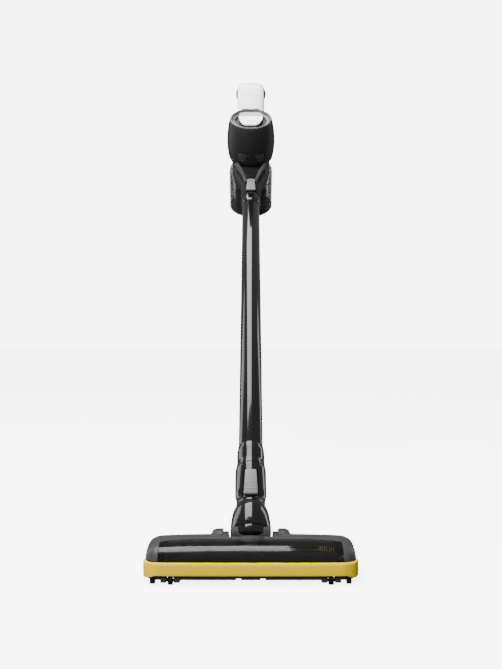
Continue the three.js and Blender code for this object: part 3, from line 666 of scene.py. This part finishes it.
def neck():
    """The domed neck, its narrow waist and the socket above it."""
    dome = [
        (20, 8.4), (26.5, 8.4), (26.8, 9.2), (26.75, 14), (26.6, 20), (25.8, 29), (24, 39), (21.6, 46),
        (19.8, 50.5)
    ]
    outside = spline(dome[3:], 6)
    waist = [
        (19.7, 52), (19.7, 57.2), (19.2, 57.4), (19.2, 58), (19.7, 58.2), (19.7, 59.6), (15, 59.6),
        (15, 30), (20, 17)
    ]
    neck_dome = lathe("neck_dome", dome[:3] + outside + waist, STICK, 192)
    carve(neck_dome, box("cutter", (-10.3, -30, 55.6), (10.3, -17.5, 64), STICK, 0.3))
    dress(neck_dome, "black", "neck", "swivel_neck")
    socket = [
        (17.2, 60), (19.7, 60), (20.1, 62), (21.5, 69), (21.65, 71), (21.6, 108), (21.5, 110.6),
        (21, 112.2), (17.2, 112.2)
    ]
    sleeve = lathe("socket_sleeve", socket, STICK, 192)
    carve(sleeve, box("cutter", (-10.3, -30, 54), (10.3, -16.9, 98.4), STICK, 1.4))
    dress(soften(sleeve, 0.35), "black", "neck", "neck_socket")


def release_button(name, body, node_name, middle):
    """A tapered press button with grip grooves near its lower end."""
    rings = []
    for h in np.linspace(-20, 20, 161):
        half = 8.6 - h * 0.05
        top = 7.3
        top -= 1.9 * max(0, (-h - 12) / 9) ** 1.5 + 1.2 * max(0, (h - 12) / 9) ** 2
        for groove in (-14, -9.4, -5):
            top -= 0.6 * math.exp(-(((h - groove) / 0.6) ** 2))
        end = min(1, (20.001 - abs(h)) / 1.2)
        half -= 0.9 * (1 - math.sqrt(1 - (1 - end) ** 2))
        top -= 0.9 * (1 - math.sqrt(1 - (1 - end) ** 2))
        section = rounded(
            [(-half, 2.4), (-half, top - 0.35), (0, top), (half, top - 0.35), (half, 2.4)], 0.9, 4
        )
        rings.append([(x, -17.4 - y, middle + h) for x, y in section])
    dress(loft(name, rings, STICK), "grey", body, node_name)


yoke()
neck()
release_button("lower_button_cap", "lower_button", "lower_release_button", LOWER_BUTTON)
release_button("upper_button_cap", "upper_button", "upper_release_button", UPPER_BUTTON)


# ---- Suction tube ----
def tube():
    """The glossy tube with its two plug-in sleeves."""
    r = tube_radius
    shaft = rounded([(r - 1.5, 126), (r, 126), (r, 800), (r - 1.5, 800)], 0.5, 3)
    dress(lathe("tube_shaft", shaft, STICK, 160), "black", "tube", "suction_tube")
    lower = [
        (14, 72), (16.8, 72), (16.8, 112.8), (20.6, 112.8), (21, 113.4), (20.6, 116), (19.6, 122.4),
        (19.5, 124), (19.5, 142)
    ]
    lower += [(19.3, 144.4), (18.4, 151), (17.85, 152), (17.85, 125.6), (14, 125.6)]
    dress(
        lathe("lower_sleeve", rounded(lower, 0.5, 3), STICK, 160), "black", "tube", "tube_lower_sleeve"
    )
    upper = [
        (17.85, 782), (18.6, 783.6), (19.4, 789), (19.4, 811.8), (19, 812.1), (16.8, 812.1),
        (16.8, 852), (14, 852), (14, 800.4), (17.85, 800.4)
    ]
    dress(
        lathe("upper_sleeve", rounded(upper, 0.5, 3), STICK, 160), "black", "tube", "tube_upper_sleeve"
    )


tube()
carry("tube_power_lead", "rubber", 0.15)


# ---- Hand unit: inlet ----
def drum(radius, low, high, sides=128):
    """A cutter about the tower's axis, between two heights."""
    return lathe(
        "cutter", [(0, low), (radius, low), (radius, high), (0, high)], TOWER, sides, closed=False
    )


def inlet():
    """The funnel from the tube to the container, darkened to near black as painted shade of its recess,
    with two lighter ribs on its front as painted highlights of its edges.
    """
    rows = [
        (812.4, 20, 20, 20, 2), (816, 20.8, 20.8, 20.8, 2), (834, 20.5, 21.2, 20.9, 2.1),
        (850, 20.6, 22, 21, 2.2)
    ]
    rows += [(868, 27, 30, 21, 2.8), (884, 35, 36.6, 21, 3), (902, 39, 36.8, 16, 3)]
    funnel = ovals("inlet_funnel", rows, STICK, 128, 7)
    carve(funnel, drum(container_radius + 0.8, -80, 12.2), drum(41.5, 11.6, 80), drum(50, 26.4, 80))
    bore = lathe(
        "cutter", [(0, 800), (17.2, 800), (17.2, 856), (14, 857), (14, 900), (0, 900)], STICK, 96,
        closed=False
    )
    carve(funnel, bore, box("cutter", (-10.3, -40, 806), (10.3, -16.9, 857), STICK, 1.2))
    # The funnel's near-black finish is painted shade of its recess.
    dress(soften(funnel, 0.4), "recess_shade_black", "hand_unit", "inlet_housing", slot="charcoal")
    # Two lighter ribs on the funnel's front: painted highlights of its edges where it widens to the
    # barrel.
    for sign, word in ((1, "right"), (-1, "left")):
        arm = edge_highlight_rib("inlet_edge_highlight_" + word, sign)
        dress(arm, "graphite", "hand_unit")


def edge_highlight_rib(name, sign):
    """One lighter rib, a painted highlight of the funnel's edge: a sloping rib from beside the button to
    the motor tower.
    """
    line = spline(
        [(9.5, 846, 22.4), (13.5, 858, 26), (19, 870, 31.4), (25, 881, 36), (30, 890, 39)], 10
    )
    rings = []
    for x, s, t in line:
        wide = 3 + (s - 846) / 44 * 1.6
        outline = [
            (-wide, -5), (-wide, -0.6), (-wide + 1.6, 1.6), (wide - 1.6, 1.6), (wide, -0.6), (wide, -5)
        ]
        section = rounded(outline, 0.5, 3)
        rings.append([(sign * (x + a * 0.9), -(t + b), s - a * 0.42) for a, b in section])
    return loft(name, rings, STICK)


inlet()


# ---- Hand unit: dust container ----
def container():
    """The clear container, its base ring and its hinged flap."""
    r = container_radius
    wall = [
        (r - 2, -85.9), (r, -85.9), (r, -4), (r - 0.4, 0), (r - 1.6, 4), (r - 3.2, 7), (r - 5.2, 9.4),
        (41.8, 11), (41.8, 12.2)
    ]
    wall += [(39.8, 12.2), (39.8, 9), (r - 5.2, 6), (r - 3.6, 3), (r - 2.2, -2), (r - 2, -6)]
    clear = lathe("container_wall", rounded(wall, 0.8, 3), TOWER, 192)
    notch = lathe(
        "cutter", [(0, -60), (18.2, -60), (18.2, -20), (0, -20)], TOWER, 96, "y", closed=False
    )
    carve(clear, notch, box("cutter", (-18.2, -60, 0), (18.2, -20, 20), TOWER, 1))
    dress(clear, "smoked", "container", "dust_container")
    base = rounded(
        [(r - 3.4, -90.9), (r - 0.4, -90.9), (r + 0.2, -89.8), (r + 0.2, -86.4), (r - 3.4, -86.4)], 0.6,
        3
    )
    ring = lathe("base_ring", base, TOWER, 192)
    dress(ring, "graphite", "container", "container_base_ring")
    dish = [
        (0, -92), (30, -92), (31, -91.4), (38, -91.4), (39, -92), (r - 5, -92), (r - 4, -91),
        (r - 4, -87.4), (0, -87.4)
    ]
    dress(
        lathe("flap_disc", rounded(dish, 0.6, 3, False), TOWER, 192, closed=False), "graphite", "flap",
        "bottom_flap"
    )
    for k, x in enumerate((-12, 0, 12)):
        rib = box("flap_rib_" + str(k + 1), (x - 1, -30, -93), (x + 1, 30, -91.6), TOWER, 0.4)
        dress(rib, "graphite", "flap")
    dress(box("flap_arm", (-11, 38, -94), (11, 54, -91.5), TOWER, 1), "graphite", "flap")
    knuckle = rounded([(0, -11), (3.2, -11), (3.2, 11), (0, 11)], 0.4, 3, False)
    dress(lathe("flap_knuckle", knuckle, TOWER, 48, "x", (0, 52.4, -90.8), False), "graphite", "flap")
    for sign, word in ((1, "right"), (-1, "left")):
        near, far = sorted((sign * 12.4, sign * 16))
        ear = box("hinge_ear_" + word, (near, 44, -91), (far, 54, -86.4), TOWER, 1)
        dress(ear, "graphite", "container")
    latch = box("latch_cap", (-8.6, -52.4, -90.2), (8.6, -48.4, -66), TOWER, 1.4)
    dress(soften(latch, 0.3), "grey", "flap_latch", "flap_latch")


def cyclone():
    """The funnelled core, its perforated shroud and the pleated filter."""
    core = [
        (24, -50), (34, -56), (35.2, -56), (35.2, -54.6), (29, -46), (29, -8), (37.8, 0), (37.8, 6),
        (30, 6), (26, -2), (26, -44), (24, -44)
    ]
    dress(
        lathe("cyclone_funnel", rounded(core, 0.7, 3), TOWER, 144), "grey", "container", "cyclone_core"
    )
    sides, rows = 108, 24
    points, faces = [], []
    for j in range(rows + 1):
        for k in range(sides):
            angle = 2 * math.pi * (k + 0.5 * (j % 2)) / sides
            points.append((30.6 * math.cos(angle), 30.6 * math.sin(angle), -43.6 + 33.2 * j / rows))
    for j in range(rows):
        faces += [
            (
                j * sides + k, j * sides + (k + 1) % sides, (j + 1) * sides + (k + 1) % sides,
                (j + 1) * sides + k
            )
            for k in range(sides)
        ]
    shroud = build("cyclone_shroud", points, faces, TOWER)
    wires = shroud.modifiers.new("holes", "WIREFRAME")
    wires.thickness = 0.7 * MM
    wires.use_even_offset = False
    dress(bake(shroud), "grey", "container", "cyclone_mesh")
    pleats = []
    for h in (-40, -4, 9.6, 10, 24):
        deep = 10.4 if h < 9.7 else 24
        wide = 24.6 if h < 9.7 else 36
        ring = []
        for k in range(180):
            r = wide if k % 2 else max(deep, wide - 5)
            ring.append((r * math.cos(math.pi * k / 90), r * math.sin(math.pi * k / 90), h))
        pleats.append(ring)
    dress(loft("filter_pleats", pleats, TOWER), "paper", "container", "filter_cartridge")


container()
cyclone()


# ---- Hand unit: motor tower ----
def motor_tower():
    """The slotted exhaust ring, the collar, the barrel and the motor's parts inside."""
    ring = lathe(
        "exhaust_grille", rounded([(37.4, 12.6), (40.6, 12.6), (40.6, 26.6), (37.4, 26.6)], 0.4, 2),
        TOWER, 192
    )
    for k in [2, 3, 4, 7, 8, 9, 15, 16, 17, 20, 21, 22]:
        turn = Matrix.Rotation(math.radians(k * 15), 4, "Z")
        carve(ring, box("cutter", (-1.6, 30, 16.4), (1.6, 50, 23.4), TOWER @ turn, 1.2))
    dress(ring, "graphite", "hand_unit", "exhaust_ring")
    collar = [
        (31, 27), (39.4, 27), (41.4, 28.1), (44.4, 31.4), (46.2, 34.6), (47.4, 38.6), (48.5, 45),
        (48.3, 45.65)
    ]
    collar += [(46.2, 45.65), (44, 38), (41, 32), (31, 30)]
    dress(
        lathe("collar_shell", rounded(collar, 0.5, 3), TOWER, 192), "charcoal", "hand_unit",
        "motor_collar"
    )
    outer = spline([(48.7, 46), (50, 58), (50.3, 65.4)], 6) + [(49.8, 65.6), (49.8, 66.1)]
    outer += spline([(50.32, 66.3), (50.4, 70), (49.9, 84), (48.4, 98), (46.4, 110), (44.4, 118)], 6)
    inner = spline(
        [(41.6, 118.6), (43.8, 110), (46, 98), (47.5, 84), (48, 70), (47.6, 58), (46.3, 46)], 4
    )
    barrel = [(48.3, 46), *outer, (44, 118.6), *inner]
    dress(lathe("barrel_shell", barrel, TOWER, 192), "charcoal", "hand_unit", "motor_cover")
    # Two lighter patches on the barrel's front: painted reflections of the light on the band above the
    # collar.
    for sign, word in ((1, "right"), (-1, "left")):
        dress(collar_painted_reflection("collar_painted_reflection_" + word, sign), "graphite", "hand_unit")
    can = [
        (3.35, 52), (29, 52), (30, 52.6), (34, 55), (34, 60), (33.4, 60.6), (33.4, 78), (34, 78.6),
        (34, 84), (12, 88), (3.35, 88)
    ]
    dress(
        lathe("motor_can_shell", rounded(can, 0.4, 3), TOWER, 96), "motor_can", "hand_unit", "fan_motor"
    )


def collar_painted_reflection(name, sign):
    """A lighter patch on the front of the barrel, above the collar: a painted reflection of the light on
    the band there.
    """
    grid = []
    for h in np.linspace(0, 1, 9):
        t = 46.6 + h * 17.4
        radius = np.interp(t, (46, 58, 70), (48.7, 50, 50.4)) + 0.12
        near, far = 0.3 - 0.15 * h, 0.56 + 0.02 * h
        row = []
        for share in np.linspace(near, far, 13):
            angle = -math.pi / 2 + sign * share
            row.append((radius * math.cos(angle), radius * math.sin(angle), t))
        grid.append(row)
    n = len(grid[0])
    points = [p for row in grid for p in row]
    faces = [
        (j * n + i, j * n + i + 1, (j + 1) * n + i + 1, (j + 1) * n + i) for j in range(8)
        for i in range(n - 1)
    ]
    panel = build(name, points, faces, TOWER)
    thick = panel.modifiers.new("thick", "SOLIDIFY")
    thick.thickness = 0.5 * MM
    thick.offset = 0
    return soften(bake(panel), 0.2, 2)


def top_panel():
    """The dished bezel with the raised tile in it: indicator behind, mode button in front."""
    base = BEZEL_AT
    dish = [
        (33, -9), (38.6, -9), (40.8, -0.5), (43.8, -0.5), (43.6, 1), (42.6, 2.3), (41.6, 2.6),
        (40.6, 2.1), (38.6, -1), (37.4, -2.6), (33, -3.4)
    ]
    rim = lathe("bezel_dish", [(r, h + base) for r, h in rounded(dish, 0.8, 4)], TOWER, 192)
    dress(rim, "dish", "hand_unit", "top_bezel", slot="graphite")
    half = [(11, -24), (17, -19), (21.5, -9), (24.3, 2), (25, 14), (23.4, 24.6), (17.5, 29.6)]
    outline = rounded(half + [(-x, y) for x, y in reversed(half)], 4, 6)
    split = TILE_SPLIT
    tile = prism("indicator_tile", outline, base - 3, base + 1, TOWER)
    carve(tile, box("cutter", (-40, split + 0.5, 100), (40, 40, 130), TOWER, 0.01), way="INTERSECT")
    dress(soften(tile, 0.6), "panel", "hand_unit", "indicator_panel", slot="panel")
    key = prism("mode_key", outline, base - 4.6, base + 1, TOWER)
    carve(key, box("cutter", (-40, -40, 100), (40, split - 0.5, 130), TOWER, 0.01), way="INTERSECT")
    dress(soften(key, 0.6), "white", "mode_button", "mode_button")
    under = prism(
        "tile_shadow_rim", [(x * 1.04, y * 1.04) for x, y in outline], base - 3.3, base - 2.2, TOWER,
        edge=0.3
    )
    dress(under, "black", "hand_unit")
    dress(
        box("lamp_strip", (-9, -14.4, base + 0.9), (14, -9, base + 1.12), TOWER, 0.08), "lamp",
        "mode_button", slot="panel"
    )
    for k in range(3):
        x = -5 + 5 * k
        lamp = box(
            "charge_lamp_" + str(k + 1), (x - 1.6, 21, base + 0.9), (x + 1.6, 22.4, base + 1.1), TOWER,
            0.08
        )
        dress(lamp, "grey", "hand_unit")


motor_tower()
top_panel()
carry("fan_impeller", "impeller", 0.3)
carry("control_board", "board", 0.2)
carry("panel_tray", "charcoal", 0.3)


# ---- Hand unit: handle ----
HANDLE = [
    (962, 98, 28, 15),
    (980, 113.5, 28.6, 14.6),
    (1001, 129, 28.8, 14),
    (1020, 138, 28.6, 13.6),
    (1038, 134.5, 27.6, 14),
    (1053, 119, 26, 14.6),
    (1061, 104, 23.4, 14.8),
    (1061, 86, 20.4, 14.8),
    (1057, 64, 18.8, 14.6),
    (1052, 42, 18.8, 14.8),
    (1050, 30, 19.4, 15),
]


def grip_section(half, deep):
    """The handle's section: a flat outer face with sloping shoulders, and a full round inner side."""
    outer = [
        (half, 0), (half * 0.97, deep * 0.42), (half * 0.56, deep * 0.97), (0, deep),
        (-half * 0.56, deep * 0.97)
    ]
    outer += [(-half * 0.97, deep * 0.42), (-half, 0)]
    inner = [
        (-half * 0.96, -deep * 0.5), (-half * 0.7, -deep * 0.88), (0, -deep),
        (half * 0.7, -deep * 0.88), (half * 0.96, -deep * 0.5)
    ]
    return rounded(outer + inner, 5, 5)


def handle_form(name, wider=0.0):
    rows = [np.array(row) for row in spline(HANDLE, 10)]
    rings = []
    for i, (s, t, half, deep) in enumerate(rows):
        run = rows[min(i + 1, len(rows) - 1)][:2] - rows[max(i - 1, 0)][:2]
        run /= np.linalg.norm(run)
        out = np.array((run[1], -run[0]))
        ring = [
            (x, -(t + out[1] * y), s + out[0] * y) for x, y in grip_section(half + wider, deep + wider)
        ]
        rings.append(ring)
    return loft(name, rings, STICK)


def inner_side(name, inset=0.0):
    """A cutter along the finger side of the handle."""
    line = [
        (-112, 1018), (-112, 1047), (-104, 1053), (-88, 1055), (-64, 1050.5), (-20, 1042), (-20, 1018)
    ]
    outline = spline([(y + (inset if y < -105 else 0), s - inset) for y, s in line[1:6]], 6)
    return prism(name, [(-112 + inset, 1018), *outline, (-20, 1018)], -26, 40, STICK, axis="x")


def handle():
    """The looped handle with its soft lining and side pads, and the room cut for the trigger."""
    shell = handle_form("handle_body")
    barrel = [
        (0, 12), (42, 12), (42, 26), (46, 32), (49.2, 46), (50.6, 58), (50.9, 70), (50.4, 84),
        (48.9, 98), (46.9, 110)
    ]
    barrel += [(44.6, 119), (44.6, 123), (0, 123)]
    carve(shell, lathe("cutter", barrel, TOWER, 128, closed=False))
    carve(shell, box("cutter", (-40, -29.75, 900), (40, 10, 1100), STICK, 0.01))
    trigger_room = box("cutter", (-8.6, -104, 1032), (8.6, -75, 1062.4), STICK, 0.6)
    carve(shell, trigger_room)
    lining = shell.copy()
    lining.data = shell.data.copy()
    lining.name = "grip_band"
    bpy.context.scene.collection.objects.link(lining)
    carve(lining, inner_side("cutter", 0.4), way="INTERSECT")
    carve(shell, inner_side("cutter"))
    dress(soften(shell, 0.5), "white", "hand_unit", "handle_shell")
    dress(soften(lining, 0.4), "rubber", "hand_unit", "grip_lining")
    for sign, word in ((1, "right"), (-1, "left")):
        rings = []
        for a in np.linspace(0.02, math.pi - 0.02, 33):
            ring = []
            for b in np.linspace(0, 2 * math.pi, 48, endpoint=False):
                reach = math.sin(a)
                y, s = -119 + 16 * reach * math.cos(b), 1047 + 14 * reach * math.sin(b)
                ring.append((sign * 22 + 10.6 * math.cos(a), y, s))
            rings.append(ring)
        pad = loft("side_pad_" + word, rings, STICK)
        carve(pad, handle_form("cutter", 0.2))
        dress(pad, "rubber", "hand_unit", "grip_pad_" + word)


def trigger():
    """The finger trigger: a hollowed bar with rounded sides."""
    rings = []
    for t in np.linspace(-13, 13, 53):
        front_s = 1038.6 + 1.6 * (1 - (t / 13) ** 2) + 2.4 * (abs(t) / 13) ** 4
        end = min(1, (13.01 - abs(t)) / 1.6)
        half = 8 - 1.2 * (1 - math.sqrt(1 - (1 - end) ** 2))
        section = rounded([(-half, front_s), (half, front_s), (half, 1056.6), (-half, 1056.6)], 1.8, 5)
        rings.append([(x, -89.5 + t, s) for x, s in section])
    dress(loft("trigger_bar", rings, STICK), "grey", "trigger", "trigger")


handle()
trigger()


# ---- Hand unit: battery ----
def battery():
    """The dock under the grip and the battery that slides on below it."""
    dock = ovals(
        "dock_body",
        [
            (968, 21, 29.4, -3, 4), (981, 23, 29.4, -3, 4), (1000, 25, 29.4, -3, 4),
            (1060, 26, 29.4, -3, 4), (1074, 25, 27, -4, 4), (1077, 22, 22, -8, 4)
        ],
        STICK, 96, 5
    )
    carve(dock, drum(47, 26.4, 60), drum(41, 12.2, 60), drum(52, -10, 12.6))
    dress(soften(dock, 0.5), "charcoal", "hand_unit", "battery_dock")
    pack = ovals(
        "pack_body",
        [
            (984, 25, -2.4, 44, 4), (987, 28, -2.4, 47, 4), (1070, 28, -2.4, 47, 4),
            (1076, 25.5, -2.4, 43, 4)
        ],
        STICK, 96, 1
    )
    carve(pack, box("cutter", (-9.4, 12, 1068.4), (9.4, 30, 1080), STICK, 0.8))
    for x in (-27.4, 27.4):
        for k in range(6):
            s = 1004 + 8 * k
            carve(pack, box("cutter", (x - 1.2, 12, s), (x + 1.2, 34, s + 2.4), STICK, 0.5))
    dress(soften(pack, 0.9), "charcoal", "battery", "battery_pack")
    key = box("battery_key", (-9, 12.4, 1071), (9, 29.6, 1077.2), STICK, 1.2)
    dress(key, "grey", "battery_button", "battery_release")


battery()


# ---- Camera, floor and light ----
def camera():
    """A level view square to the head's front face."""
    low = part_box("bumper")[0]
    lens = bpy.data.cameras.new("view")
    lens.sensor_fit = "VERTICAL"
    lens.sensor_height = SENSOR_MM
    lens.lens = LENS_MM
    lens.clip_end = 50
    eye = bpy.data.objects.new("view", lens)
    bpy.context.scene.collection.objects.link(eye)
    eye.location = (CAMERA_RIGHT, low.y - CAMERA_AHEAD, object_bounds()[0].z + CAMERA_UP)
    eye.rotation_euler = (math.pi / 2, 0, 0)
    bpy.context.scene.camera = eye


def lamp(name, at, target, size, power, diffuse=True, glossy=True):
    light = bpy.data.lights.new(name, "AREA")
    light.shape = "RECTANGLE"
    light.size, light.size_y = size
    light.energy = power
    holder = bpy.data.objects.new(name, light)
    bpy.context.scene.collection.objects.link(holder)
    holder.location = at
    holder.rotation_euler = (Vector(target) - Vector(at)).to_track_quat("-Z", "Y").to_euler()
    holder.visible_diffuse = diffuse
    holder.visible_glossy = glossy


def white_floor():
    """A white floor that lights nothing and still takes a faint shadow."""
    floor_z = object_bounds()[0].z - 0.0003
    mesh = bpy.data.meshes.new("floor")
    mesh.from_pydata(
        [(-9, -9, floor_z), (9, -9, floor_z), (9, 14, floor_z), (-9, 14, floor_z)], [], [(0, 1, 2, 3)]
    )
    floor = bpy.data.objects.new("floor", mesh)
    bpy.context.scene.collection.objects.link(floor)
    look = finish("floor", (0.9, 0.9, 0.9), 0.7, bump=0.02, vary=0.002, Emission_Strength=FLOOR_GLOW)
    look.node_tree.nodes["Principled BSDF"].inputs["Emission Color"].default_value = (1, 1, 1, 1)
    floor.data.materials.append(look)
    floor.visible_diffuse = False
    floor.visible_glossy = False


def sky():
    """A white backdrop for the camera over a dim room for the object."""
    world = bpy.data.worlds.new("sky")
    bpy.context.scene.world = world
    world.use_nodes = True
    tree = world.node_tree
    room = tree.nodes["Background"]
    room.inputs["Color"].default_value = (1, 1, 1, 1)
    room.inputs["Strength"].default_value = ROOM_GLOW
    backdrop = tree.nodes.new("ShaderNodeBackground")
    backdrop.inputs["Color"].default_value = (1, 1, 1, 1)
    backdrop.inputs["Strength"].default_value = BACKDROP_GLOW
    mix = tree.nodes.new("ShaderNodeMixShader")
    tree.links.new(tree.nodes.new("ShaderNodeLightPath").outputs["Is Camera Ray"], mix.inputs["Fac"])
    tree.links.new(room.outputs["Background"], mix.inputs[1])
    tree.links.new(backdrop.outputs["Background"], mix.inputs[2])
    tree.links.new(mix.outputs["Shader"], tree.nodes["World Output"].inputs["Surface"])


def studio():
    """A white room with soft boxes above, in front and on both sides."""
    white_floor()
    sky()
    middle = (0, -0.45, -0.4)
    lamp("box_top", (-0.6, 0.1, 2.4), (-0.6, 0.1, 0), (1.7, 2.2), 80)
    lamp("fill_front", (-0.9, -2.6, 0.2), middle, (1.6, 1.6), 50, glossy=False)
    lamp("fill_hand", (-0.5, -1.1, 0.9), (0, 0.05, 0.05), (0.6, 0.6), 80, glossy=False)
    lamp("strip_left", (-2.2, 0.9, 0.1), middle, (0.9, 2.6), 14, diffuse=False)
    lamp("strip_right", (2.3, 1.2, 0.1), middle, (0.4, 2.6), 8, diffuse=False)


camera()
studio()
